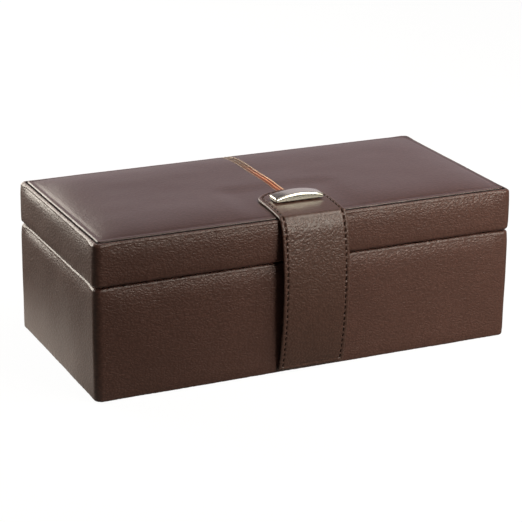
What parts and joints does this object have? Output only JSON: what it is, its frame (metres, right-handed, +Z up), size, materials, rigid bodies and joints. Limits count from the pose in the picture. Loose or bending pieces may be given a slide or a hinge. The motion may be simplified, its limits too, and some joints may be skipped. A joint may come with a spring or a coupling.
{
  "type": "watch and cufflink box",
  "caption": "Brown leather watch and cufflink box with a hinged padded lid, a strap with a metal bar, suede compartments and lift-out pillows.",
  "frame": {"origin": "middle of the resting face, on the floor under the centre of the box", "axes": "+X along the length, to the right seen from the front; -Y towards the strap at the front; +Z up"},
  "size_m": [0.3, 0.1598, 0.1169],
  "materials": {
    "leather": "fine pebbled grain, satin",
    "strap_leather": "pebbled grain, satin, stitched edges",
    "suede": "matt napped suede",
    "pillow_suede": "matt napped suede",
    "board": "plain sawn fibreboard",
    "foam": "open foam",
    "felt": "matt felt",
    "chrome": "polished",
    "steel": "plain",
    "brass": "satin"
  },
  "bodies": {
    "base": {"base_leather_wrap": "leather", "base_front_board": "board", "base_back_board": "board", "base_left_board": "board", "base_right_board": "board", "base_bottom_board": "board", "base_underside_felt": "felt", "base_wall_lining": "suede", "base_floor_lining": "suede", "row_divider": "suede", "watch_divider_1": "suede", "watch_divider_2": "suede", "watch_divider_3": "suede", "watch_divider_4": "suede", "cufflink_divider_1": "suede", "cufflink_divider_2": "suede", "cufflink_divider_3": "suede", "cufflink_divider_4": "suede", "cufflink_divider_5": "suede", "cufflink_shelf": "suede", "shelf_support_left": "board", "shelf_support_right": "board", "base_magnet": "steel", "hinge_left_base_leaf": "brass", "hinge_left_pin": "brass", "hinge_right_base_leaf": "brass", "hinge_right_pin": "brass"},
    "lid": {"lid_leather_skirt": "leather", "lid_front_board": "board", "lid_back_board": "board", "lid_left_board": "board", "lid_right_board": "board", "lid_top_board": "board", "lid_wall_lining": "suede", "lid_lining_pad": "suede", "lid_foam_pad": "foam", "lid_top_leather_left": "leather", "lid_top_leather_right": "leather", "strap_tab": "strap_leather", "strap_bar": "chrome", "bar_nut_left": "steel", "bar_nut_right": "steel", "hinge_left_lid_leaf": "brass", "hinge_right_lid_leaf": "brass"},
    "strap": {"strap_flap": "strap_leather", "strap_magnet": "steel"},
    "pillow_1": {"watch_pillow_1": "pillow_suede"},
    "pillow_2": {"watch_pillow_2": "pillow_suede"},
    "pillow_3": {"watch_pillow_3": "pillow_suede"},
    "pillow_4": {"watch_pillow_4": "pillow_suede"},
    "pillow_5": {"watch_pillow_5": "pillow_suede"}
  },
  "joints": [
    {"name": "lid_hinge", "type": "hinge", "parent": "base", "child": "lid", "pos_m": [0, 0.0749, 0.077], "axis": [-1, 0, 0], "range_deg": [0, 95]},
    {"name": "strap_fold", "type": "hinge", "parent": "lid", "child": "strap", "pos_m": [0, -0.07652, 0.10665], "axis": [-1, 0, 0], "range_deg": [0, 90]},
    {"name": "pillow_1_lift", "type": "slide", "parent": "base", "child": "pillow_1", "axis": [0, 0, 1], "range_m": [0, 0.03]},
    {"name": "pillow_2_lift", "type": "slide", "parent": "base", "child": "pillow_2", "axis": [0, 0, 1], "range_m": [0, 0.03]},
    {"name": "pillow_3_lift", "type": "slide", "parent": "base", "child": "pillow_3", "axis": [0, 0, 1], "range_m": [0, 0.03]},
    {"name": "pillow_4_lift", "type": "slide", "parent": "base", "child": "pillow_4", "axis": [0, 0, 1], "range_m": [0, 0.03]},
    {"name": "pillow_5_lift", "type": "slide", "parent": "base", "child": "pillow_5", "axis": [0, 0, 1], "range_m": [0, 0.03]}
  ]
}
